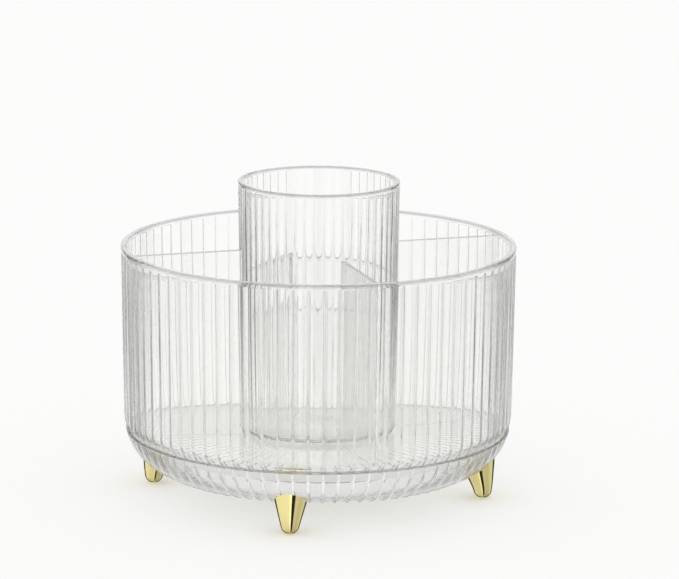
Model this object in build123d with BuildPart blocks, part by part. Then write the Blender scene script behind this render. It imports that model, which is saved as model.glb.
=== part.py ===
from build123d import *

import os
from math import asin, atan2, cos, pi, radians, sin, sqrt, tan

# A clear fluted desk organizer that turns: a round bin with a taller cup and four dividers
# rides on a caged ring of balls over a bowl-shaped base with four tapered metal feet.
# Millimetres. The desk is Z = 0 and everything turns about the Z axis.

# Bin, measured out from the spin axis and up from the desk
rim_radius = 90.0
rim_height = 115.5
draft_angle = 0.8
bin_wall = 2.8
bin_floor = 2.6
bin_corner_radius = 8.5
bin_lip_height = 2.2
bin_lip_bevel = 0.7
bin_flute_count = 80
bin_flute_depth = 0.35

# Cup in the middle of the bin
cup_rim_radius = 36.8
cup_rim_height = 145.0
cup_wall = 2.0
cup_floor = 2.4
cup_corner_radius = 3.2
cup_lip_height = 1.6
cup_lip_bevel = 0.6
cup_flute_count = 52
cup_flute_depth = 0.3

# Dividers between the cup and the bin's wall
divider_count = 4
divider_thickness = 1.8
divider_drop = 0.6
divider_edge_bevel = 0.4

# Bowl-shaped base
base_rim_height = 30.8
base_setback = 0.8
base_underside = 11.5
base_wall = 1.7
bowl_arc_radius = 24.0
base_flute_depth = 0.3
bin_nest = 2.3
platform_inset = 2.0
platform_thickness = 2.6
pivot_boss_wall = 3.0
pivot_boss_drop = 2.8

# Turntable disc with its hub and turned-down rim
turntable_plate = 2.6
turntable_rim_drop = 2.4
turntable_rim_wall = 2.0
moat_width = 7.7
hub_radius = 8.0

# Ring of balls and the disc that keeps them spaced
ball_count = 6
ball_diameter = 4.0
ball_inset = 14.5
cage_thickness = 1.4
cage_edge = 4.5

# Pivot screw and washer under the hub
washer_radius = 11.5
washer_thickness = 1.2
pivot_screw_radius = 2.0
pivot_screw_bite = 9.0
pivot_head_radius = 4.0
pivot_head_height = 2.2
pivot_slot_width = 1.0
pivot_slot_depth = 1.1

# Feet, and the pads and holes that take them
foot_count = 4
foot_front_angle = 243.5
foot_inset = 11.3
foot_tip_radius = 4.3
foot_tip_flat = 0.35
foot_flare_angle = 15.3
foot_lean_angle = 12.0
foot_pad_radius = 6.6
foot_pad_height = 1.3
foot_peg_radius = 2.5
foot_peg_length = 1.5
foot_peg_sides = 6

# Flat panels round a foot and a ball, and flat steps along each curved outline
foot_panels = 24
ball_panels = 12
corner_steps = 3
bowl_steps = 4
tip_steps = 3
ball_steps = 6
ball_pole_angle = 78.0

# Clearances, the stand-out of a lip over the flutes, and the overrun of every cut
lip_proud = 0.15
race_play = 0.15
hub_play = 0.05
end_play = 0.3
bond_gap = 0.05
loose_gap = 0.3
hole_spare = 1.0
overrun = 1.0

sides = ("front", "right", "rear", "left")
full_turn = 360
draft = radians(draft_angle)

# Heights that follow from the stack, from the bin down to the pivot screw
bin_underside = base_rim_height - bin_nest
bin_floor_top = bin_underside + bin_floor
cup_underside = bin_floor_top + bond_gap
plate_top = bin_underside - bond_gap
plate_underside = plate_top - turntable_plate
ball_height = plate_underside - ball_diameter / 2 - race_play
platform_top = ball_height - ball_diameter / 2 - race_play
platform_underside = platform_top - platform_thickness
pivot_boss_bottom = platform_underside - pivot_boss_drop
hub_end = pivot_boss_bottom - end_play
washer_underside = hub_end - washer_thickness


def bin_radius(height):
    """Outside radius of the bin's drafted wall at a height."""
    return rim_radius - (rim_height - height) * tan(draft)


def cup_radius(height):
    """Outside radius of the cup's drafted wall at a height."""
    return cup_rim_radius - (cup_rim_height - height) * tan(draft)


# The bowl's curve is one arc, whose lowest point is level with the flat underside
base_rim_radius = bin_radius(bin_underside) - base_setback
arc_height = base_underside + bowl_arc_radius
arc_inner_radius = bowl_arc_radius - base_wall
arc_centre_radius = base_rim_radius - sqrt(bowl_arc_radius**2 - (arc_height - base_rim_height) ** 2)


def bowl_radius(height, arc_radius):
    """Radius of the bowl's outer or inner curve at a height."""
    return arc_centre_radius + sqrt(arc_radius**2 - (arc_height - height) ** 2)


turntable_rim_end = plate_underside - turntable_rim_drop
turntable_radius = bowl_radius(turntable_rim_end, arc_inner_radius) - moat_width
platform_radius = arc_centre_radius - platform_inset
recess_radius = platform_radius - base_wall
bore_radius = hub_radius + hub_play
ball_circle_radius = platform_radius - ball_inset

# A foot's axis stands upright in its round tip and leans in above it as it rises to the bowl
lean = radians(foot_lean_angle)
flare = radians(foot_flare_angle)
foot_tip_height = foot_tip_radius - foot_tip_flat
foot_circle_radius = base_rim_radius - foot_inset


def foot_axis_at(height):
    """Distance of a foot's axis from the spin axis at a height."""
    return foot_circle_radius - max(0, height - foot_tip_height) * tan(lean)


def spin_axis_at(height):
    """The pieces that are round about the spin axis stand on it at every height."""
    return 0


# It meets the bowl's curve at the seat, where a flat pad lies square to the bowl
tip_out = foot_circle_radius - arc_centre_radius
tip_down = arc_height - foot_tip_height
halfway = tip_out * sin(lean) + tip_down * cos(lean)
seat_distance = halfway - sqrt(halfway**2 - tip_out**2 - tip_down**2 + bowl_arc_radius**2)
seat_angle = atan2(tip_down - seat_distance * cos(lean), tip_out - seat_distance * sin(lean))
seat_inward = (-cos(seat_angle), 0, sin(seat_angle))


def seat_plane(inward):
    """Plane of the foot's pad on the +X side, moved into the bowl by a distance and facing inwards."""
    reach = bowl_arc_radius - inward
    origin = (arc_centre_radius + reach * cos(seat_angle), 0, arc_height - reach * sin(seat_angle))
    return Plane(origin, x_dir=(0, 1, 0), z_dir=seat_inward)


def arc_points(centre, radius, start, end, steps):
    """Points on an arc about a centre, from one angle to another, in even flat steps."""
    angles = [start + (end - start) * step / steps for step in range(steps + 1)]
    return [(centre[0] + radius * cos(angle), centre[1] + radius * sin(angle)) for angle in angles]


def corner_points(foot_radius, foot_height, corner_radius):
    """Rounded corner between a level floor and a drafted wall that would meet it at the foot radius."""
    inset = corner_radius * (cos(draft) - (1 - sin(draft)) * tan(draft))
    centre = (foot_radius - inset, foot_height + corner_radius)
    return arc_points(centre, corner_radius, radians(-90), -draft, corner_steps)


def bowl_points(arc_radius):
    """Curve of the bowl from its lowest point up to its rim."""
    rim_angle = -asin((arc_height - base_rim_height) / arc_radius)
    return arc_points((arc_centre_radius, arc_height), arc_radius, radians(-90), rim_angle, bowl_steps)


def section(*points):
    """Filled half-section in the XZ plane, ready to turn about the Z axis."""
    with BuildSketch(Plane.XZ) as outline:
        with BuildLine():
            Polyline(*points, close=True)
        make_face()
    return outline.sketch


def panel_solid(profile, panels, first_angle, valley_share=1, axis_at=spin_axis_at):
    """Solid of flat panels between level rings of the profile's radii and heights.

    Every other corner of a ring may lie deeper by the valley share, which makes V-shaped flutes."""
    rings = []
    for radius, height in profile:
        ring = []
        for corner in range(panels):
            angle = first_angle + corner * 2 * pi / panels
            reach = radius * (valley_share if corner % 2 else 1)
            ring.append((axis_at(height) + reach * cos(angle), reach * sin(angle), height))
        rings.append(ring)
    faces = [Face(Wire.make_polygon(rings[0])), Face(Wire.make_polygon(rings[-1]))]
    for lower, upper in zip(rings, rings[1:]):
        for corner in range(panels):
            after = (corner + 1) % panels
            corners = (lower[corner], lower[after], upper[after], upper[corner])
            faces.append(Face(Wire.make_polygon(corners)))
    return Solid(Shell(faces))


def fluted_vessel(
    radius_at,
    low,
    high,
    wall,
    floor,
    corner_radius,
    lip_height,
    lip_bevel,
    flute_count,
    flute_depth,
    first_crest,
):
    """Open drafted vessel: fluted wall under a plain bevelled lip, rounded corners and a flat floor."""
    lip_base = high - lip_height
    bevel_base = high - lip_bevel
    outer_corner = corner_points(radius_at(low) - lip_proud, low, corner_radius)
    crests = (*outer_corner, (radius_at(lip_base) - lip_proud, lip_base))
    lip = ((radius_at(high), lip_base), (radius_at(high), bevel_base), (radius_at(high) - lip_bevel, high))
    inner_corner = corner_points(radius_at(low + floor) - wall, low + floor, corner_radius - wall)
    mouth = radius_at(bevel_base) - wall
    mouth_top = mouth + lip_bevel
    cavity = (*inner_corner, (mouth, bevel_base), (mouth_top, high), (mouth_top, high + overrun))
    with BuildPart() as vessel:
        add(panel_solid(crests, flute_count * 2, first_crest, 1 - flute_depth / radius_at(high)))
        add(panel_solid(lip, flute_count, first_crest))
        add(panel_solid(cavity, flute_count, 0), mode=Mode.SUBTRACT)
    return vessel.part


def ring_section(inner_radius, outer_radius, low, high):
    """Half-section of a plain ring or disc."""
    return section((inner_radius, low), (outer_radius, low), (outer_radius, high), (inner_radius, high))


def save(piece, name):
    """Names a finished piece and writes it to its own file."""
    piece.part.label = name
    export_step(piece.part, f"parts/{name}.step")


os.makedirs("parts", exist_ok=True)

# Bin
first_crest = pi / bin_flute_count
with BuildPart() as outer_bin:
    add(
        fluted_vessel(
            radius_at=bin_radius,
            low=bin_underside,
            high=rim_height,
            wall=bin_wall,
            floor=bin_floor,
            corner_radius=bin_corner_radius,
            lip_height=bin_lip_height,
            lip_bevel=bin_lip_bevel,
            flute_count=bin_flute_count,
            flute_depth=bin_flute_depth,
            first_crest=first_crest,
        )
    )
save(outer_bin, "outer_bin")

# Cup: narrower flutes and a thinner wall
with BuildPart() as brush_cup:
    add(
        fluted_vessel(
            radius_at=cup_radius,
            low=cup_underside,
            high=cup_rim_height,
            wall=cup_wall,
            floor=cup_floor,
            corner_radius=cup_corner_radius,
            lip_height=cup_lip_height,
            lip_bevel=cup_lip_bevel,
            flute_count=cup_flute_count,
            flute_depth=cup_flute_depth,
            first_crest=0,
        )
    )
save(brush_cup, "brush_cup")

# Divider on the +X side: follows the cup, the floor, the bin's corner and its wall, then one for each side
with BuildPart() as divider:
    low = bin_floor_top + bond_gap
    high = rim_height - divider_drop
    flat_share = cos(pi / bin_flute_count)
    cup_edge = ((cup_radius(high) + bond_gap, high), (cup_radius(low) + bond_gap, low))
    wall_foot = (bin_radius(low) - bin_wall) * flat_share - bond_gap
    corner = corner_points(wall_foot, low, bin_corner_radius - bin_wall)
    panel = section(*cup_edge, *corner, ((bin_radius(high) - bin_wall) * flat_share - bond_gap, high))
    extrude(panel, amount=divider_thickness / 2, both=True)
    chamfer(divider.edges().group_by(Axis.Z)[-1].filter_by(Axis.X), length=divider_edge_bevel)
for turn, side in enumerate(sides):
    with BuildPart() as placed_divider:
        with PolarLocations(0, 1, start_angle=full_turn / divider_count * (turn - 1)):
            add(divider.part)
    save(placed_divider, f"divider_{side}")

# Turntable disc: plate under the bin's floor, turned-down rim, and the hub that turns in the base
with BuildPart() as turntable_disc:
    revolve(ring_section(0, turntable_radius, plate_underside, plate_top), axis=Axis.Z)
    rim_inside = turntable_radius - turntable_rim_wall
    revolve(ring_section(rim_inside, turntable_radius, turntable_rim_end, plate_underside), axis=Axis.Z)
    revolve(ring_section(0, hub_radius, hub_end, plate_underside), axis=Axis.Z)
    hole_radius = pivot_screw_radius + bond_gap
    hole_top = hub_end + pivot_screw_bite + hole_spare
    revolve(ring_section(0, hole_radius, hub_end - overrun, hole_top), axis=Axis.Z, mode=Mode.SUBTRACT)
save(turntable_disc, "turntable_disc")

# Pivot washer and screw, which hold the hub from below
with BuildPart() as pivot_washer:
    hole_radius = pivot_screw_radius + loose_gap
    revolve(ring_section(hole_radius, washer_radius, washer_underside, hub_end), axis=Axis.Z)
save(pivot_washer, "pivot_washer")

with BuildPart() as pivot_screw:
    head_underside = washer_underside - pivot_head_height
    revolve(ring_section(0, pivot_head_radius, head_underside, washer_underside), axis=Axis.Z)
    revolve(ring_section(0, pivot_screw_radius, washer_underside, hub_end + pivot_screw_bite), axis=Axis.Z)
    with BuildSketch(Plane.XY.offset(head_underside)):
        Rectangle(pivot_head_radius * 2 + overrun, pivot_slot_width)
    extrude(amount=pivot_slot_depth, mode=Mode.SUBTRACT)
save(pivot_screw, "pivot_screw")

# Ring of balls
with BuildPart() as bearing_balls:
    pole = radians(ball_pole_angle)
    half_round = arc_points((0, ball_height), ball_diameter / 2, -pole, pole, ball_steps)
    with PolarLocations(ball_circle_radius, ball_count):
        add(panel_solid(half_round, ball_panels, 0))
save(bearing_balls, "bearing_balls")

# Disc that spaces the balls, centred on the hub, with a square window for each ball
with BuildPart() as ball_cage:
    cage_radius = ball_circle_radius + cage_edge
    cage_low = ball_height - cage_thickness / 2
    cage_high = ball_height + cage_thickness / 2
    revolve(ring_section(hub_radius + loose_gap, cage_radius, cage_low, cage_high), axis=Axis.Z)
    with BuildSketch(Plane.XY.offset(cage_low)):
        with PolarLocations(ball_circle_radius, ball_count):
            Rectangle(ball_diameter + race_play * 2, ball_diameter + race_play * 2)
    extrude(amount=cage_thickness, mode=Mode.SUBTRACT)
save(ball_cage, "ball_cage")

# Pad on the +X side that gives a foot a flat seat, and the hole for its peg, copied round the bowl
with BuildPart() as foot_pad:
    with BuildSketch(seat_plane(0)):
        RegularPolygon(foot_pad_radius, foot_panels)
    extrude(amount=foot_pad_height)

with BuildPart() as peg_hole:
    with BuildSketch(seat_plane(-overrun)):
        RegularPolygon(foot_peg_radius + bond_gap, foot_peg_sides)
    extrude(amount=base_wall + overrun * 2)

# Base: fluted bowl with a raised platform, a bore for the hub, and pads for the feet
with BuildPart() as base_bowl:
    valley_share = 1 - base_flute_depth / base_rim_radius
    add(panel_solid(bowl_points(bowl_arc_radius), bin_flute_count * 2, first_crest, valley_share))
    with PolarLocations(0, foot_count, start_angle=foot_front_angle):
        add(foot_pad.part)
    inner_curve = bowl_points(arc_inner_radius)
    mouth = (inner_curve[-1][0], base_rim_height + overrun)
    add(panel_solid((*inner_curve, mouth), bin_flute_count, 0), mode=Mode.SUBTRACT)
    revolve(ring_section(0, platform_radius, base_underside, platform_top), axis=Axis.Z)
    recess = ring_section(0, recess_radius, base_underside - overrun, platform_underside)
    revolve(recess, axis=Axis.Z, mode=Mode.SUBTRACT)
    pivot_boss_radius = bore_radius + pivot_boss_wall
    revolve(ring_section(0, pivot_boss_radius, pivot_boss_bottom, platform_top), axis=Axis.Z)
    bore = ring_section(0, bore_radius, pivot_boss_bottom - overrun, platform_top + overrun)
    revolve(bore, axis=Axis.Z, mode=Mode.SUBTRACT)
    with PolarLocations(0, foot_count, start_angle=foot_front_angle):
        add(peg_hole.part, mode=Mode.SUBTRACT)
save(base_bowl, "base_bowl")

# Foot on the +X side: round tip with a small flat, flared shank, flat seat and a peg, then one for each side
with BuildPart() as foot:
    flat_angle = asin(foot_tip_height / foot_tip_radius)
    tip = arc_points((0, foot_tip_height), foot_tip_radius, -flat_angle, -flare, tip_steps)
    shank_top = tip[-1][0] + (arc_height - tip[-1][1]) / cos(lean) * tan(flare)
    add(panel_solid((*tip, (shank_top, arc_height)), foot_panels, 0, axis_at=foot_axis_at))
    split(bisect_by=seat_plane(-bond_gap), keep=Keep.BOTTOM)
    with BuildSketch(seat_plane(-bond_gap)):
        RegularPolygon(foot_peg_radius, foot_peg_sides)
    extrude(amount=foot_peg_length)
for turn, side in enumerate(sides):
    with BuildPart() as placed_foot:
        with PolarLocations(0, 1, start_angle=foot_front_angle + full_turn / foot_count * turn):
            add(foot.part)
    save(placed_foot, f"foot_{side}")
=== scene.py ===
from math import acos, atan2, cos, hypot, pi, radians, sin, sqrt, tan

import bmesh
import bpy
from mathutils import Matrix, Vector


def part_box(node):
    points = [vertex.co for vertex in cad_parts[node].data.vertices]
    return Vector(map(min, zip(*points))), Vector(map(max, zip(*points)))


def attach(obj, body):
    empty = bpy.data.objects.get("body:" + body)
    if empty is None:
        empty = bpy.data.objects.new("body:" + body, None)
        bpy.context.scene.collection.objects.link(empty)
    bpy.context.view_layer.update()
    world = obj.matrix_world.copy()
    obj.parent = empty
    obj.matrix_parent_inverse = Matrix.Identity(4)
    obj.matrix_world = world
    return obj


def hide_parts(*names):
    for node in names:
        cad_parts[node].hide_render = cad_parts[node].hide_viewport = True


# A clear fluted desk organizer that turns on a bowl-shaped base with four gold feet.
# Metres in the frame's own axes: the desk is Z = 0 and everything turns about Z.

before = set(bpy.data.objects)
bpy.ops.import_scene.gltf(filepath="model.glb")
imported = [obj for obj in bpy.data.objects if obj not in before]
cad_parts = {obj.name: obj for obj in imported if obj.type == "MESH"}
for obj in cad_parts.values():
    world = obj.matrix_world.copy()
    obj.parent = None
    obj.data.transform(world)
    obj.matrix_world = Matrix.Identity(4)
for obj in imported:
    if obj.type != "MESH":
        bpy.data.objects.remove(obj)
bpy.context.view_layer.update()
scene = bpy.context.scene

MM = 0.001
SIDES = ("front", "right", "rear", "left")
FULL_TURN = 2 * pi
QUARTER_TURN = pi / 2

# Sizes read from the frame
bin_low, bin_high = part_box("outer_bin")
cup_low, cup_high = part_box("brush_cup")
_, bowl_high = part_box("base_bowl")
disc_low, disc_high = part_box("turntable_disc")
balls_low, balls_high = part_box("bearing_balls")

# Walls, lips and floors of the two fluted vessels
DRAFT = radians(0.8)
LIP_PROUD = 0.15 * MM
BIN_WALL = 2.8 * MM
BIN_FLOOR = 2.6 * MM
BIN_CORNER = 8.5 * MM
BIN_LIP = 2.2 * MM
CUP_WALL = 2.0 * MM
CUP_FLOOR = 2.4 * MM
CUP_CORNER = 3.2 * MM
CUP_LIP = 1.6 * MM
LIP_ROUND = 0.6 * MM
LIP_INSIDE_DROP = 2.5 * LIP_ROUND
FLUTE_FADE = 0.5 * MM
UNDERSIDE_INSET = 1.6  # corner radii from the wall to where the flutes start

# Flutes: hollow panels with a thin rounded rib between each two
BIN_FLUTES = 80
CUP_FLUTES = 52
FLUTE_STEPS = 14
FLUTE_CROWDING = 0.82
PANEL_HOLLOW = 0.05 * MM
RIB_HEIGHT = 0.37 * MM
BIN_RIB_SHARE = 0.23
CUP_RIB_SHARE = 0.3
WELD_DISTANCE = 1e-6

# Painted shade on the clear plastic: darker panels between the ribs, dark lines on their flanks, and dark
# rounded edges.
# An edge takes its painted shade as a flute share below zero.
CLEAR_PANEL_SHADE = 0.995
BOWL_PANEL_SHADE = 0.66
BIN_FLANK_SHADE = 0.14
CUP_FLANK_SHADE = 0.1
BOWL_FLANK_SHADE = 0.05
LIP_SHADE = -0.6
RIM_SHADE = -0.75
ACRYLIC_IOR = 1.49

# Bowl, turntable disc and bearing
BOWL_ARC = 24.0 * MM
BOWL_WALL = 1.7 * MM
BOWL_UNDERSIDE = 11.5 * MM
BOWL_ARC_STEPS = 26
BOWL_FLUTE_START = radians(-84)
RIM_ROUND = 0.3 * MM
PLATFORM_INSET = 2.0 * MM
PLATFORM = 2.6 * MM
HUB_RADIUS = 8.0 * MM
HUB_PLAY = 0.05 * MM
BOSS_WALL = 3.0 * MM
BOSS_DROP = 2.8 * MM
BALLS = 6
BALL_DIAMETER = 4.0 * MM
RACE_PLAY = 0.15 * MM
DISC_PLATE = 2.6 * MM
DISC_RIM_WALL = 2.0 * MM
DISC_RIM_DROP = 2.4 * MM
SCREW_HOLE = 2.05 * MM
SCREW_HOLE_DEPTH = 10.0 * MM
SMALL_ROUND = 0.25 * MM

# Dividers
DIVIDER_GAP = 0.1 * MM
DIVIDER_ROUND = 0.35 * MM
DIVIDER_SHARP = radians(60)

# Feet
FOOT_FRONT_ANGLE = radians(243.5)
FOOT_INSET = 11.3 * MM
FOOT_TIP = 4.3 * MM
FOOT_TIP_FLAT = 0.35 * MM
FOOT_FLARE = radians(15.3)
FOOT_LEAN = radians(12)
FOOT_GAP = 0.06 * MM
FOOT_SEGMENTS = 64
FOOT_TIP_STEPS = 14
FOOT_SHANK_SHARES = (0.25, 0.5, 0.75, 0.96, 1.0)
FOOT_HALVINGS = 30

# Camera, fitted to the photograph
VIEW_TARGET = Vector((0, 0, 70 * MM))
VIEW_DISTANCE = 1.9
VIEW_AZIMUTH = radians(-17.5)
VIEW_ELEVATION = radians(12.894)
VIEW_ROLL = radians(0.32)
VIEW_LENS = 220.4
VIEW_SHIFT = (0.0315, 0.0764)

# Studio: brightness at degrees to the right of the photograph's backdrop.
# Bright surfaces mirror soft boxes; clear ones show white with dark gaps.
GAP_LEVEL = 0.03
FLOOR_REACH = 12.0
MIRRORED_LEVELS = (
    (-180, 1.5), (-176, 1.5), (-170, 1.0), (-62, 0.95), (-50, GAP_LEVEL), (-26, GAP_LEVEL),
    (-18, 0.9), (18, 0.9), (26, GAP_LEVEL), (50, GAP_LEVEL), (62, 0.8), (110, 0.6),
    (148, 0.75), (154, 0.02), (174, 0.02), (177, 1.5),
)
REFRACTED_GAPS = (
    (-180, -176), (-143, -131), (-98, -86), (-54, -33), (33, 54), (82, 94), (127, 139), (172, 180),
)

# Sizes that follow from these
rim_radius = bin_high.x
rim_height = bin_high.z
bin_underside = bin_low.z
cup_rim_radius = cup_high.x
bowl_rim_height = bowl_high.z
bowl_rim_radius = bowl_high.x
arc_height = BOWL_UNDERSIDE + BOWL_ARC
arc_radius_at_centre = bowl_rim_radius - sqrt(BOWL_ARC**2 - (arc_height - bowl_rim_height) ** 2)

# Directions of the photograph's view
view_out = Vector((sin(VIEW_AZIMUTH), -cos(VIEW_AZIMUTH), 0))
view_back = view_out * cos(VIEW_ELEVATION) + Vector((0, 0, sin(VIEW_ELEVATION)))
view_right = Vector((cos(VIEW_AZIMUTH), sin(VIEW_AZIMUTH), 0))


class Wire:
    """A node's output that takes part in sums; every operator adds a Math node."""

    def __init__(self, graph, socket):
        self.graph = graph
        self.socket = socket

    def math(self, operation, *others):
        return self.graph.node("ShaderNodeMath", {"operation": operation}, enumerate((self, *others)))

    def __add__(self, other):
        return self.math("ADD", other)

    def __radd__(self, other):
        return self.math("ADD", other)

    def __mul__(self, other):
        return self.math("MULTIPLY", other)

    def __sub__(self, other):
        return self.math("SUBTRACT", other)

    def __rsub__(self, other):
        return (self * -1).math("ADD", other)

    def __truediv__(self, other):
        return self.math("DIVIDE", other)

    def __neg__(self):
        return self * -1


class Graph:
    """Adds nodes to one tree."""

    def __init__(self, tree):
        self.tree = tree

    def feed(self, socket, value):
        if isinstance(value, Wire):
            self.tree.links.new(value.socket, socket)
        else:
            socket.default_value = value

    def node(self, kind, settings=(), inputs=(), out=0):
        """Adds a node: its settings first, then its inputs, and gives the output or outputs asked for."""
        made = self.tree.nodes.new(kind)
        for name, value in dict(settings).items():
            if name.endswith("stops"):
                made.color_ramp.interpolation = "CONSTANT" if name == "sharp_stops" else "LINEAR"
                set_stops(made.color_ramp, value)
            else:
                setattr(made, name, value)
        for key, value in dict(inputs).items():
            self.feed(made.inputs[key], value)
        if isinstance(out, tuple):
            return [Wire(self, made.outputs[key]) for key in out]
        return Wire(self, made.outputs[out])

    def mix(self, factor, first, second):
        """Colour between two colours."""
        settings = {"data_type": "RGBA"}
        return self.node("ShaderNodeMix", settings, {0: factor, 6: first, 7: second}, out=2)


def set_stops(ramp, stops):
    """Gives a colour ramp its stops, each a place and a grey level."""
    while len(ramp.elements) > 1:
        ramp.elements.remove(ramp.elements[-1])
    for number, (place, level) in enumerate(stops):
        element = ramp.elements[0] if number == 0 else ramp.elements.new(place)
        element.position = place
        element.color = (level, level, level, 1)


def new_material(name):
    """An empty material with its graph."""
    material = bpy.data.materials.new(name)
    material.use_nodes = True
    material.node_tree.nodes.clear()
    return material, Graph(material.node_tree)


def show(graph, shader):
    """Joins a shader to the material's output, which it gives back."""
    end = graph.tree.nodes.new("ShaderNodeOutputMaterial")
    graph.feed(end.inputs["Surface"], shader)
    return end


def coat(graph, inputs):
    """Principled surface with the given inputs."""
    show(graph, graph.node("ShaderNodeBsdfPrincipled", (), inputs))


def lit_through(graph, plastic, tint):
    """See-through plastic that lets light on to what lies behind it."""
    open_way = graph.node("ShaderNodeBsdfTransparent", (), {"Color": tint})
    scattered, shadow = graph.node("ShaderNodeLightPath", out=("Is Diffuse Ray", "Is Shadow Ray"))
    plastic = graph.node("ShaderNodeMixShader", (), {0: scattered, 1: plastic, 2: open_way})
    return show(graph, graph.node("ShaderNodeMixShader", (), {0: shadow, 1: plastic, 2: open_way}))


def surface_noise(graph, scale, detail):
    """Soft noise over a piece, from its own place in the frame."""
    place = graph.node("ShaderNodeTexCoord", out="Object")
    return graph.node("ShaderNodeTexNoise", (), {"Vector": place, "Scale": scale, "Detail": detail})


def clear_acrylic(name, panel_shade):
    """Clear polished plastic with the faint ripple of a moulding, painted shade between its ribs, and
    painted dark lines on rib flanks and rounded edges.
    """
    material, graph = new_material(name)
    ripple = surface_noise(graph, 55, 1)
    bump = graph.node("ShaderNodeBump", (), {"Strength": 0.03, "Distance": 0.0002, "Height": ripple})
    colour = graph.mix(ripple, (0.99, 0.99, 0.985, 1), (1.0, 1.0, 0.995, 1))
    # Painted shade between the ribs, leaving the crests bright
    between = graph.node("ShaderNodeAttribute", {"attribute_name": "painted_panel_shade"}, out="Fac")
    colour = graph.mix(between, colour, (panel_shade, panel_shade, panel_shade - 0.01, 1))
    # Painted shade: dark lines along the rib flanks and rounded edges
    shade_lines = graph.node("ShaderNodeAttribute", {"attribute_name": "painted_shade_lines"}, out="Fac")
    colour = graph.mix(shade_lines, colour, (0.2, 0.2, 0.21, 1))
    smudge = (ripple * 0.3 - 0.19).math("MAXIMUM", 0.0)
    inputs = {"Base Color": colour, "Roughness": smudge, "Normal": bump}
    inputs.update({"IOR": ACRYLIC_IOR, "Transmission Weight": 1.0})
    end = lit_through(graph, graph.node("ShaderNodeBsdfPrincipled", (), inputs), (0.99, 0.99, 0.987, 1))
    depth = graph.node("ShaderNodeVolumeAbsorption", (), {"Color": (0.04, 0.04, 0, 1), "Density": 1.5})
    graph.feed(end.inputs["Volume"], depth)
    return material


def panel_acrylic():
    """Clear sheet of the dividers, a little milky."""
    material, graph = new_material("panel_acrylic")
    ripple = surface_noise(graph, 70, 1)
    colour = graph.mix(ripple, (0.96, 0.96, 0.95, 1), (0.99, 0.99, 0.98, 1))
    inputs = {"Base Color": colour, "Roughness": (ripple * 0.3 - 0.16).math("MAXIMUM", 0.0)}
    inputs.update({"IOR": ACRYLIC_IOR, "Transmission Weight": 0.86})
    lit_through(graph, graph.node("ShaderNodeBsdfPrincipled", (), inputs), (0.97, 0.97, 0.965, 1))
    return material


def satin_edge_painted_shade():
    """Sawn top edge of a divider: a satin surface whose grey is painted shade, giving a dark grey line."""
    material, graph = new_material("satin_edge_painted_shade")
    grain = surface_noise(graph, 1500, 2)
    bump = graph.node("ShaderNodeBump", (), {"Strength": 0.2, "Distance": 0.00005, "Height": grain})
    # The grain is the edge's own; its grey level is painted shade
    colour = graph.mix(grain, (0.55, 0.55, 0.55, 1), (0.66, 0.66, 0.65, 1))
    inputs = {"Base Color": colour, "Roughness": 0.25 + grain * 0.2, "Normal": bump}
    inputs.update({"IOR": ACRYLIC_IOR, "Transmission Weight": 0.3})
    lit_through(graph, graph.node("ShaderNodeBsdfPrincipled", (), inputs), (0.95, 0.95, 0.945, 1))
    return material


def frosted_plastic():
    """Pale disc with a fine satin surface."""
    material, graph = new_material("frosted_plastic")
    grain = surface_noise(graph, 900, 2)
    bump = graph.node("ShaderNodeBump", (), {"Strength": 0.1, "Distance": 0.0001, "Height": grain})
    colour = graph.mix(grain, (0.94, 0.94, 0.93, 1), (0.98, 0.98, 0.97, 1))
    inputs = {"Base Color": colour, "Roughness": 0.35 + grain * 0.15, "Normal": bump}
    inputs.update({"IOR": 1.46, "Transmission Weight": 0.3})
    lit_through(graph, graph.node("ShaderNodeBsdfPrincipled", (), inputs), (0.95, 0.95, 0.945, 1))
    return material


def moulded_plastic():
    """Plain pale plastic of the ball retainer."""
    material, graph = new_material("cage_plastic")
    grain = surface_noise(graph, 500, 2)
    colour = graph.mix(grain, (0.92, 0.92, 0.91, 1), (0.96, 0.96, 0.95, 1))
    inputs = {"Base Color": colour, "Roughness": 0.4 + grain * 0.15, "Transmission Weight": 0.4}
    lit_through(graph, graph.node("ShaderNodeBsdfPrincipled", (), inputs), (0.94, 0.94, 0.93, 1))
    return material


def polished_gold():
    """Bright gold plate with a slight haze."""
    material, graph = new_material("gold")
    haze = surface_noise(graph, 320, 3)
    bump = graph.node("ShaderNodeBump", (), {"Strength": 0.05, "Distance": 0.0001, "Height": haze})
    colour = graph.mix(haze, (0.91, 0.78, 0.33, 1), (0.95, 0.85, 0.42, 1))
    coat(graph, {"Base Color": colour, "Metallic": 1.0, "Roughness": 0.05 + haze * 0.08, "Normal": bump})
    return material


def bright_steel(name, low_roughness):
    """Plated steel with fine wear."""
    material, graph = new_material(name)
    wear = surface_noise(graph, 700, 3)
    colour = graph.mix(wear, (0.62, 0.63, 0.64, 1), (0.75, 0.76, 0.77, 1))
    coat(graph, {"Base Color": colour, "Metallic": 1.0, "Roughness": low_roughness + wear * 0.12})
    return material


def rounded_outline(corners, steps=6):
    """Outline through corners of radius, height, rounding and flute share, with each rounding as an arc."""
    points = []
    last = len(corners) - 1
    for number, (radius, height, rounding, share) in enumerate(corners):
        here = Vector((radius, height))
        if rounding == 0 or number in (0, last):
            points.append((here, share))
            continue
        back = (Vector(corners[number - 1][:2]) - here).normalized()
        ahead = (Vector(corners[number + 1][:2]) - here).normalized()
        half = acos(max(-1, min(1, back.dot(ahead)))) / 2
        middle = here + (back + ahead).normalized() * (rounding / sin(half))
        start = here + back * (rounding / tan(half))
        first = atan2(start.y - middle.y, start.x - middle.x)
        turn = pi - 2 * half
        if back.x * ahead.y - back.y * ahead.x > 0:
            turn = -turn
        for step in range(steps + 1):
            angle = first + turn * step / steps
            points.append((middle + Vector((cos(angle), sin(angle))) * rounding, share))
    return points


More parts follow.
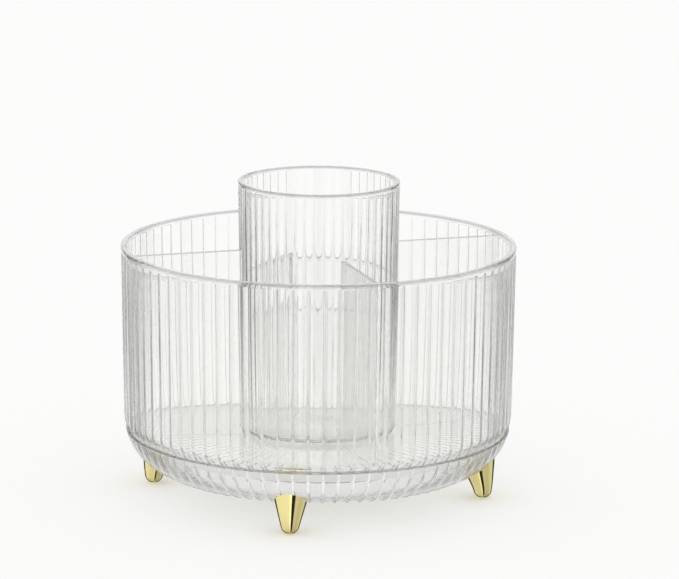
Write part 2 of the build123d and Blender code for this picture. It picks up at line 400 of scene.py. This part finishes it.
def open_tree(name, kinds, result):
    """Starts a geometry tree with named inputs; gives its graph and what each input gives."""
    tree = bpy.data.node_groups.new(name, "GeometryNodeTree")
    for label, kind in kinds.items():
        tree.interface.new_socket(name=label, in_out="INPUT", socket_type=kind)
    tree.interface.new_socket(name=result, in_out="OUTPUT", socket_type="NodeSocketGeometry")
    graph = Graph(tree)
    return graph, dict(zip(kinds, graph.node("NodeGroupInput", out=tuple(kinds))))


def close_tree(graph, made, material):
    """Realizes what a tree made, gives it its material and joins it to the tree's output."""
    made = graph.node("GeometryNodeRealizeInstances", (), {"Geometry": made})
    made = graph.node("GeometryNodeSetMaterial", (), {"Geometry": made, "Material": material})
    end = graph.tree.nodes.new("NodeGroupOutput")
    graph.feed(end.inputs[0], made)
    return graph.tree


def turned_tree():
    """Turns an outline about Z; its points' flute share lets hollow panels and thin ribs run along it."""
    kinds = {
        "Outline": "NodeSocketGeometry",
        "Flutes": "NodeSocketInt",
        "Steps per flute": "NodeSocketInt",
        "Crowding": "NodeSocketFloat",
        "Panel hollow": "NodeSocketFloat",
        "Rib height": "NodeSocketFloat",
        "Rib share": "NodeSocketFloat",
        "Flank shade": "NodeSocketFloat",
        "First rib": "NodeSocketFloat",
        "Material": "NodeSocketMaterial",
    }
    graph, given = open_tree("turned_with_flutes", kinds, "Turned")

    # Sheet with a column for each step round the piece and a row for each point of the outline
    outline = {"Geometry": given["Outline"]}
    rows = graph.node("GeometryNodeAttributeDomainSize", {"component": "MESH"}, outline)
    columns = given["Flutes"] * given["Steps per flute"]
    sizes = {"Size X": columns, "Size Y": rows - 1, "Vertices X": columns + 1, "Vertices Y": rows}
    sheet = graph.node("GeometryNodeMeshGrid", (), sizes)
    place = graph.node("GeometryNodeInputPosition")
    across, along = graph.node("ShaderNodeSeparateXYZ", (), {0: place}, out=("X", "Y"))
    column = (across + columns / 2).math("ROUND")
    row = (along + (rows - 1) / 2).math("ROUND")

    # Angle of each column, crowded towards the ribs, and how far it sinks below a rib's crest
    flute = (column / given["Steps per flute"]).math("FLOOR")
    even = column / given["Steps per flute"] - flute
    within = even - (even * FULL_TURN).math("SINE") * given["Crowding"] / FULL_TURN
    angle = (flute + within) * FULL_TURN / given["Flutes"] + given["First rib"]
    side = within * 2 - 1
    from_rib = 1 - side.math("ABSOLUTE")
    rib = (from_rib / given["Rib share"]).math("MINIMUM", 1.0)
    below_rib = 0.5 - (rib * pi).math("COSINE") * 0.5
    hollow = 1 - side * side
    sunk = below_rib * given["Rib height"] + hollow * given["Panel hollow"]

    def on_outline(value, data_type, index):
        settings = {"data_type": data_type, "domain": "POINT", "clamp": True}
        inputs = {"Geometry": given["Outline"], "Value": value, "Index": index}
        return graph.node("GeometryNodeSampleIndex", settings, inputs)

    # Place of each row, moved inwards across the outline by its depth
    point = on_outline(place, "FLOAT_VECTOR", row)
    ahead = on_outline(place, "FLOAT_VECTOR", row + 1)
    behind = on_outline(place, "FLOAT_VECTOR", row - 1)
    named = {"Name": "flute_share"}
    share_read = graph.node("GeometryNodeInputNamedAttribute", {"data_type": "FLOAT"}, named)
    share_here = on_outline(share_read, "FLOAT", row)
    share = share_here.math("MAXIMUM", 0.0)
    # Painted shade: a share below zero darkens a rounded edge, and the ribs' flanks darken by the given
    # level
    shade = (-share_here).math("MAXIMUM", 0.0)
    depth = sunk * share
    shade_lines = (rib * pi).math("SINE") * share * given["Flank shade"] + shade
    # Painted shade of the panels between the ribs
    panel = below_rib * share
    run = graph.node("ShaderNodeVectorMath", {"operation": "SUBTRACT"}, {0: ahead, 1: behind})
    run = graph.node("ShaderNodeVectorMath", {"operation": "NORMALIZE"}, {0: run})
    run_out, run_up = graph.node("ShaderNodeSeparateXYZ", (), {0: run}, out=("X", "Z"))
    point_out, point_up = graph.node("ShaderNodeSeparateXYZ", (), {0: point}, out=("X", "Z"))
    radius = point_out - depth * run_up
    height = point_up + depth * run_out
    spot = {"X": radius * angle.math("COSINE"), "Y": radius * angle.math("SINE"), "Z": height}
    spot = graph.node("ShaderNodeCombineXYZ", (), spot)

    body = sheet
    kept = {"data_type": "FLOAT", "domain": "POINT"}
    for name, value in (("painted_shade_lines", shade_lines), ("painted_panel_shade", panel)):
        inputs = {"Geometry": body, "Name": name, "Value": value}
        body = graph.node("GeometryNodeStoreNamedAttribute", kept, inputs)
    body = graph.node("GeometryNodeSetPosition", (), {"Geometry": body, "Position": spot})
    body = graph.node("GeometryNodeMergeByDistance", (), {"Geometry": body, "Distance": WELD_DISTANCE})
    body = graph.node("GeometryNodeSetShadeSmooth", (), {"Geometry": body, "Shade Smooth": True})
    return close_tree(graph, body, given["Material"])


def ball_ring_tree():
    """Round balls on a circle."""
    kinds = {
        "Balls": "NodeSocketInt",
        "Circle radius": "NodeSocketFloat",
        "Ball radius": "NodeSocketFloat",
        "Height": "NodeSocketFloat",
        "Material": "NodeSocketMaterial",
    }
    graph, given = open_tree("ball_ring", kinds, "Ring")
    circle = {"Vertices": given["Balls"], "Radius": given["Circle radius"]}
    ring = graph.node("GeometryNodeMeshCircle", (), circle)
    lift = graph.node("ShaderNodeCombineXYZ", (), {"Z": given["Height"]})
    ring = graph.node("GeometryNodeSetPosition", (), {"Geometry": ring, "Offset": lift})
    shape = {"Segments": 24, "Rings": 12, "Radius": given["Ball radius"]}
    ball = graph.node("GeometryNodeMeshUVSphere", (), shape)
    ball = graph.node("GeometryNodeSetShadeSmooth", (), {"Geometry": ball, "Shade Smooth": True})
    balls = graph.node("GeometryNodeInstanceOnPoints", (), {"Points": ring, "Instance": ball})
    return close_tree(graph, balls, given["Material"])


def grown(name, start, tree, values):
    """Plain mesh piece that a node tree grows from a starting mesh."""
    seed = bpy.data.objects.new(name + "_seed", start)
    scene.collection.objects.link(seed)
    modifier = seed.modifiers.new("grow", "NODES")
    modifier.node_group = tree
    for item in tree.interface.items_tree:
        if item.in_out == "INPUT" and item.name in values:
            modifier[item.identifier] = values[item.name]
    graph = bpy.context.evaluated_depsgraph_get()
    mesh = bpy.data.meshes.new_from_object(seed.evaluated_get(graph))
    seed.modifiers.clear()
    bpy.data.objects.remove(seed)
    mesh.name = name
    return link_piece(name, mesh)


def link_piece(name, mesh):
    """Object for a finished mesh, with its faces turned outwards."""
    work = bmesh.new()
    work.from_mesh(mesh)
    if work.calc_volume(signed=True) < 0:
        bmesh.ops.reverse_faces(work, faces=work.faces)
    work.to_mesh(mesh)
    work.free()
    piece = bpy.data.objects.new(name, mesh)
    scene.collection.objects.link(piece)
    return piece


def settle(piece, body, slot, *nodes):
    """The piece rides on its body in place of its CAD nodes."""
    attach(piece, body)
    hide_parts(*nodes)


def outline_mesh(name, points):
    """Outline as a chain of points in the XZ plane that carry their flute share."""
    mesh = bpy.data.meshes.new(name + "_outline")
    spots = [(spot.x, 0, spot.y) for spot, _ in points]
    mesh.from_pydata(spots, [(step, step + 1) for step in range(len(spots) - 1)], [])
    attribute = mesh.attributes.new("flute_share", "FLOAT", "POINT")
    for item, (_, share) in zip(attribute.data, points):
        item.value = share
    return mesh


def turned(name, points, material, flutes, rib_share=0.2, flank_shade=0.0, first_rib=0.0):
    """Piece turned about the spin axis from an outline."""
    values = {
        "Flutes": flutes,
        "Steps per flute": FLUTE_STEPS,
        "Crowding": FLUTE_CROWDING,
        "Panel hollow": PANEL_HOLLOW,
        "Rib height": RIB_HEIGHT,
        "Rib share": rib_share,
        "Flank shade": flank_shade,
        "First rib": first_rib,
        "Material": material,
    }
    return grown(name, outline_mesh(name, points), turned_group, values)


def vessel_points(rim, top, underside, wall, floor, corner, lip):
    """Outline of an open drafted vessel: underside, wall, lip, inside and floor."""

    def radius_at(height):
        return rim - (top - height) * tan(DRAFT)

    lip_base = top - lip
    lip_inside = top - LIP_INSIDE_DROP
    floor_top = underside + floor
    crest = radius_at(lip_base) - LIP_PROUD
    return rounded_outline(
        (
            (0, underside, 0, 0),
            (radius_at(underside) - corner * UNDERSIDE_INSET, underside, 0, 0),
            (radius_at(underside) - LIP_PROUD, underside, corner, 1),
            (crest, lip_base - FLUTE_FADE, 0, 1),
            (crest, lip_base, 0, 0),
            (radius_at(lip_base), lip_base + LIP_PROUD, 0, 0),
            # The lip's two rounded edges carry painted shade
            (rim, top, LIP_ROUND, LIP_SHADE),
            (rim - wall / 2, top, 0, 0),
            (rim - wall, top, LIP_ROUND, LIP_SHADE),
            (radius_at(lip_inside) - wall, lip_inside, 0, 0),
            (radius_at(floor_top) - wall, floor_top, corner - wall, 0),
            (0, floor_top, 0, 0),
        ),
        steps=8,
    )


def bowl_arc(radius, start, end, share):
    """Points along the bowl's outer or inner curve."""
    points = []
    for step in range(BOWL_ARC_STEPS + 1):
        angle = start + (end - start) * step / BOWL_ARC_STEPS
        spot = Vector((arc_radius_at_centre + radius * cos(angle), arc_height + radius * sin(angle)))
        points.append((spot, share))
    return points


def bowl_points():
    """Closed outline of the base: underside, fluted outer curve, rim, inner curve, platform and bore."""
    plate_underside = disc_high.z - DISC_PLATE
    platform_top = plate_underside - BALL_DIAMETER - 2 * RACE_PLAY
    platform_low = platform_top - PLATFORM
    boss_low = platform_low - BOSS_DROP
    bore = HUB_RADIUS + HUB_PLAY
    platform_radius = arc_radius_at_centre - PLATFORM_INSET
    recess = platform_radius - BOWL_WALL
    floor_top = BOWL_UNDERSIDE + BOWL_WALL
    below = rounded_outline(
        (
            (bore, boss_low, 0, 0),
            (bore + BOSS_WALL, boss_low, SMALL_ROUND, 0),
            (bore + BOSS_WALL, platform_low, SMALL_ROUND, 0),
            (recess, platform_low, SMALL_ROUND, 0),
            (recess, BOWL_UNDERSIDE, SMALL_ROUND, 0),
            (arc_radius_at_centre, BOWL_UNDERSIDE, 0, 0),
        ),
        steps=3,
    )
    rim_angle = -atan2(arc_height - bowl_rim_height + FLUTE_FADE, BOWL_ARC)
    outer = bowl_arc(BOWL_ARC, BOWL_FLUTE_START, rim_angle, 1)
    inner_arc = BOWL_ARC - BOWL_WALL
    inner_rim = sqrt(inner_arc**2 - (arc_height - bowl_rim_height) ** 2) + arc_radius_at_centre
    rim = rounded_outline(
        (
            (outer[-1][0].x, outer[-1][0].y, 0, 0),
            # The rim's rounded edges carry painted shade, a dark shadow line along the seam
            (bowl_rim_radius, bowl_rim_height, RIM_ROUND, RIM_SHADE),
            (inner_rim, bowl_rim_height, RIM_ROUND, RIM_SHADE),
            (inner_rim, bowl_rim_height - 2 * RIM_ROUND, 0, 0),
        ),
        steps=4,
    )
    inner_angle = -atan2(arc_height - bowl_rim_height + 3 * RIM_ROUND, inner_arc)
    inner = bowl_arc(inner_arc, inner_angle, -QUARTER_TURN, 0)
    inside = rounded_outline(
        (
            (inner[-1][0].x, floor_top, 0, 0),
            (platform_radius, floor_top, SMALL_ROUND, 0),
            (platform_radius, platform_top, SMALL_ROUND, 0),
            (bore, platform_top, SMALL_ROUND, 0),
            (bore, boss_low, 0, 0),
        ),
        steps=3,
    )
    return below + outer + rim[1:] + inner + inside[1:]


def disc_points():
    """Outline of the turntable disc: screw hole, hub, plate and turned-down rim."""
    hub_low = disc_low.z
    radius = disc_high.x
    plate_underside = disc_high.z - DISC_PLATE
    rim_end = plate_underside - DISC_RIM_DROP
    return rounded_outline(
        (
            (0, hub_low + SCREW_HOLE_DEPTH, 0, 0),
            (SCREW_HOLE, hub_low + SCREW_HOLE_DEPTH, 0, 0),
            (SCREW_HOLE, hub_low, 0, 0),
            (HUB_RADIUS, hub_low, SMALL_ROUND, 0),
            (HUB_RADIUS, plate_underside, SMALL_ROUND, 0),
            (radius - DISC_RIM_WALL, plate_underside, SMALL_ROUND, 0),
            (radius - DISC_RIM_WALL, rim_end, SMALL_ROUND, 0),
            (radius, rim_end, SMALL_ROUND, 0),
            (radius, disc_high.z, SMALL_ROUND, 0),
            (0, disc_high.z, 0, 0),
        ),
        steps=3,
    )


def divider_mesh(side):
    """Flat panel from the cup to the bin's wall, with eased edges, as it stands on the +X side."""
    low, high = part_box(f"divider_{side}")
    thickness = min(high.x - low.x, high.y - low.y)
    bottom, top = low.z, high.z

    def bin_inside(height):
        return rim_radius - (rim_height - height) * tan(DRAFT) - BIN_WALL - DIVIDER_GAP

    def cup_outside(height):
        return cup_rim_radius - (cup_high.z - height) * tan(DRAFT) + DIVIDER_GAP

    corners = rounded_outline(
        (
            (cup_outside(bottom), bottom, 0, 0),
            (bin_inside(bottom), bottom, BIN_CORNER - BIN_WALL, 0),
            (bin_inside(top), top, 0, 0),
            (cup_outside(top), top, 0, 0),
        ),
        steps=10,
    )
    work = bmesh.new()
    ring = [work.verts.new((spot.x, -thickness / 2, spot.y)) for spot, _ in corners]
    face = work.faces.new(ring)
    grown_part = bmesh.ops.extrude_face_region(work, geom=[face])
    moved = [item for item in grown_part["geom"] if isinstance(item, bmesh.types.BMVert)]
    bmesh.ops.translate(work, verts=moved, vec=(0, thickness, 0))
    bmesh.ops.recalc_face_normals(work, faces=work.faces)
    edges = [edge for edge in work.edges if edge.calc_face_angle() > DIVIDER_SHARP]
    bmesh.ops.bevel(work, geom=edges, offset=DIVIDER_ROUND, segments=3, profile=0.5, affect="EDGES")
    for face in work.faces:
        face.material_index = int(face.calc_center_median().z > top - DIVIDER_ROUND)
    mesh = bpy.data.meshes.new(f"divider_{side}")
    work.to_mesh(mesh)
    work.free()
    return mesh


def foot_mesh(side):
    """Tapered foot on the +X side: round tip with a small flat, shank that ends on the bowl's curve."""
    tip_height = FOOT_TIP - FOOT_TIP_FLAT
    tip_out = bowl_rim_radius - FOOT_INSET
    flat = acos(tip_height / FOOT_TIP)
    limit = BOWL_ARC + FOOT_GAP

    def spot_at(radius, height, angle):
        lean = max(0, height - tip_height) * tan(FOOT_LEAN)
        return Vector((tip_out - lean + radius * cos(angle), radius * sin(angle), height))

    def clear_of_bowl(spot):
        return hypot(hypot(spot.x, spot.y) - arc_radius_at_centre, spot.z - arc_height) > limit

    def shank_spot(share, angle):
        """Point on the shank at a share of the way from the tip to the bowl, found by halving."""
        start = FOOT_TIP * cos(FOOT_FLARE)
        base = tip_height - FOOT_TIP * sin(FOOT_FLARE)
        near, far = base, arc_height
        for _ in range(FOOT_HALVINGS):
            middle = (near + far) / 2
            radius = start + (middle - base) * tan(FOOT_FLARE) / cos(FOOT_LEAN)
            if clear_of_bowl(spot_at(radius, middle, angle)):
                near = middle
            else:
                far = middle
        height = base + (near - base) * share
        return spot_at(start + (height - base) * tan(FOOT_FLARE) / cos(FOOT_LEAN), height, angle)

    work = bmesh.new()
    rings = []
    angles = [FULL_TURN * step / FOOT_SEGMENTS for step in range(FOOT_SEGMENTS)]
    for step in range(FOOT_TIP_STEPS + 1):
        bend = flat + (QUARTER_TURN - FOOT_FLARE - flat) * step / FOOT_TIP_STEPS
        radius, height = FOOT_TIP * sin(bend), tip_height - FOOT_TIP * cos(bend)
        rings.append([work.verts.new(spot_at(radius, height, angle)) for angle in angles])
    for share in FOOT_SHANK_SHARES:
        rings.append([work.verts.new(shank_spot(share, angle)) for angle in angles])
    for lower, upper in zip(rings, rings[1:]):
        for step in range(FOOT_SEGMENTS):
            after = (step + 1) % FOOT_SEGMENTS
            work.faces.new((lower[step], lower[after], upper[after], upper[step]))
    work.faces.new(list(reversed(rings[0])))
    crown = work.verts.new(sum((vert.co for vert in rings[-1]), Vector()) / FOOT_SEGMENTS)
    for step in range(FOOT_SEGMENTS):
        work.faces.new((rings[-1][step], rings[-1][(step + 1) % FOOT_SEGMENTS], crown))
    for face in work.faces:
        face.smooth = len(face.verts) == 4
    for edge in work.edges:
        edge.smooth = all(face.smooth for face in edge.link_faces)
    mesh = bpy.data.meshes.new(f"foot_{side}")
    work.to_mesh(mesh)
    work.free()
    return mesh


def white_floor():
    """Pale floor that keeps soft shadows."""
    mesh = bpy.data.meshes.new("floor")
    corners = [(x * FLOOR_REACH, y * FLOOR_REACH, 0) for x, y in ((-1, -1), (1, -1), (1, 1), (-1, 1))]
    mesh.from_pydata(corners, [], [(0, 1, 2, 3)])
    material, graph = new_material("white_floor")
    coat(graph, {"Base Color": (0.97, 0.97, 0.965, 1), "Roughness": 0.9, "Specular IOR Level": 0.0})
    mesh.materials.append(material)
    floor = bpy.data.objects.new("floor", mesh)
    scene.collection.objects.link(floor)
    floor.visible_glossy = False
    floor.visible_transmission = False


def studio_world():
    """Soft boxes for bright surfaces, white with dark gaps for clear ones, and even light otherwise."""
    world = bpy.data.worlds.new("studio")
    scene.world = world
    world.use_nodes = True
    world.node_tree.nodes.clear()
    graph = Graph(world.node_tree)
    look = graph.node("ShaderNodeTexCoord", out="Generated")

    def along(direction):
        """How far the look goes along a direction."""
        pair = {0: look, 1: direction}
        return graph.node("ShaderNodeVectorMath", {"operation": "DOT_PRODUCT"}, pair, out="Value")

    turn = along(view_right).math("ARCTAN2", along(-view_out)) / FULL_TURN + 0.5
    refracted = [stop for start, end in REFRACTED_GAPS for stop in ((start, GAP_LEVEL), (end, 1.0))]
    glossy, spread = graph.node("ShaderNodeLightPath", out=("Is Glossy Ray", "Diffuse Depth"))
    through = graph.node("ShaderNodeLightPath", out="Is Transmission Ray")
    rise = graph.node("ShaderNodeSeparateXYZ", (), {0: look}, out="Z")

    def by_height(start, end, lower, upper):
        """Level that runs from one value to another between two heights of the look."""
        return graph.node("ShaderNodeMapRange", (), {"Value": rise, 1: start, 2: end, 3: lower, 4: upper})

    def around(levels, kind="stops"):
        """Level that changes with the look's turn from the backdrop."""
        stops = [(degree / 360 + 0.5, level) for degree, level in levels]
        return graph.node("ShaderNodeValToRGB", {kind: stops}, {"Fac": turn})

    white, black = (1, 1, 1, 1), (0, 0, 0, 1)
    towards_floor = by_height(-0.8, -0.35, 0.65, 1.0)
    under_floor = by_height(-0.75, -0.5, 1.0, 0.0)
    towards_ceiling = by_height(0.35, 0.65, 0.0, 0.6)
    gloss = graph.mix(towards_floor, black, around(MIRRORED_LEVELS))
    sides = graph.mix(towards_ceiling, around(refracted, "sharp_stops"), black)
    clear_view = graph.mix(under_floor, sides, white)
    colour = white
    for kind, pattern in ((glossy, gloss), (through, clear_view)):
        seen = (kind - spread).math("MAXIMUM", 0.0)
        colour = graph.mix(seen, colour, pattern)
    background = graph.node("ShaderNodeBackground", (), {"Color": colour, "Strength": 1.0})
    end = world.node_tree.nodes.new("ShaderNodeOutputWorld")
    graph.feed(end.inputs["Surface"], background)


def photo_camera():
    """Camera where the photograph was taken from."""
    data = bpy.data.cameras.new("photo_camera")
    data.lens = VIEW_LENS
    data.sensor_width = 36
    data.shift_x, data.shift_y = VIEW_SHIFT
    data.clip_end = 50
    camera = bpy.data.objects.new("photo_camera", data)
    turn = view_back.to_track_quat("Z", "Y").to_matrix().to_4x4()
    place = Matrix.Translation(VIEW_TARGET + view_back * VIEW_DISTANCE)
    camera.matrix_world = place @ turn @ Matrix.Rotation(VIEW_ROLL, 4, "Z")
    scene.collection.objects.link(camera)
    scene.camera = camera


# Finishes
clear = clear_acrylic("clear_acrylic", CLEAR_PANEL_SHADE)
# A shaded copy of the clear plastic for the bowl, painted much darker between its ribs
shaded_bowl_clear = clear_acrylic("shaded_bowl_acrylic", BOWL_PANEL_SHADE)
divider_panel = panel_acrylic()
divider_edge = satin_edge_painted_shade()
frosted = frosted_plastic()
moulded = moulded_plastic()
gold = polished_gold()
ball_steel = bright_steel("ball_steel", 0.06)
screw_steel = bright_steel("screw_steel", 0.18)

# Turned pieces
turned_group = turned_tree()
bin_outline = vessel_points(rim_radius, rim_height, bin_underside, BIN_WALL, BIN_FLOOR, BIN_CORNER, BIN_LIP)
bin_half_pitch = pi / BIN_FLUTES
bin_ribs = (BIN_FLUTES, BIN_RIB_SHARE, BIN_FLANK_SHADE, bin_half_pitch)
outer_bin = turned("outer_bin_clear", bin_outline, clear, *bin_ribs)
settle(outer_bin, "bin", "clear_acrylic", "outer_bin")

cup_outline = vessel_points(cup_rim_radius, cup_high.z, cup_low.z, CUP_WALL, CUP_FLOOR, CUP_CORNER, CUP_LIP)
brush_cup = turned("brush_cup_clear", cup_outline, clear, CUP_FLUTES, CUP_RIB_SHARE, CUP_FLANK_SHADE)
settle(brush_cup, "bin", "clear_acrylic", "brush_cup")

bowl_ribs = (BIN_FLUTES, BIN_RIB_SHARE, BOWL_FLANK_SHADE, bin_half_pitch)
base_bowl = turned("base_bowl_clear", bowl_points(), shaded_bowl_clear, *bowl_ribs)
settle(base_bowl, "base", "clear_acrylic", "base_bowl")

turntable = turned("turntable_disc_frosted", disc_points(), frosted, CUP_FLUTES)
settle(turntable, "bin", "frosted_plastic", "turntable_disc")

# Dividers and feet, one for each side
for number, side in enumerate(SIDES):
    mesh = divider_mesh(side)
    mesh.transform(Matrix.Rotation(QUARTER_TURN * (number - 1), 4, "Z"))
    mesh.materials.append(divider_panel)
    mesh.materials.append(divider_edge)
    settle(link_piece(f"divider_{side}_clear", mesh), "bin", "clear_acrylic", f"divider_{side}")

    mesh = foot_mesh(side)
    mesh.transform(Matrix.Rotation(FOOT_FRONT_ANGLE + QUARTER_TURN * number, 4, "Z"))
    mesh.materials.append(gold)
    settle(link_piece(f"foot_{side}_gold", mesh), "base", "gold", f"foot_{side}")

# Bearing and fasteners
ball_values = {
    "Balls": BALLS,
    "Circle radius": balls_high.x - BALL_DIAMETER / 2,
    "Ball radius": BALL_DIAMETER / 2,
    "Height": (balls_low.z + balls_high.z) / 2,
    "Material": ball_steel,
}
balls = grown("bearing_balls_steel", bpy.data.meshes.new("ball_start"), ball_ring_tree(), ball_values)
settle(balls, "bearing", "ball_steel", "bearing_balls")
for node, material in (("ball_cage", moulded), ("pivot_screw", screw_steel), ("pivot_washer", screw_steel)):
    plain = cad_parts[node]
    plain.data.materials.clear()
    plain.data.materials.append(material)

# Floor, light and camera
white_floor()
studio_world()
photo_camera()
scene.view_settings.view_transform = "Standard"
scene.cycles.max_bounces = 64
scene.cycles.transmission_bounces = 64
scene.cycles.glossy_bounces = 48
scene.cycles.transparent_max_bounces = 48
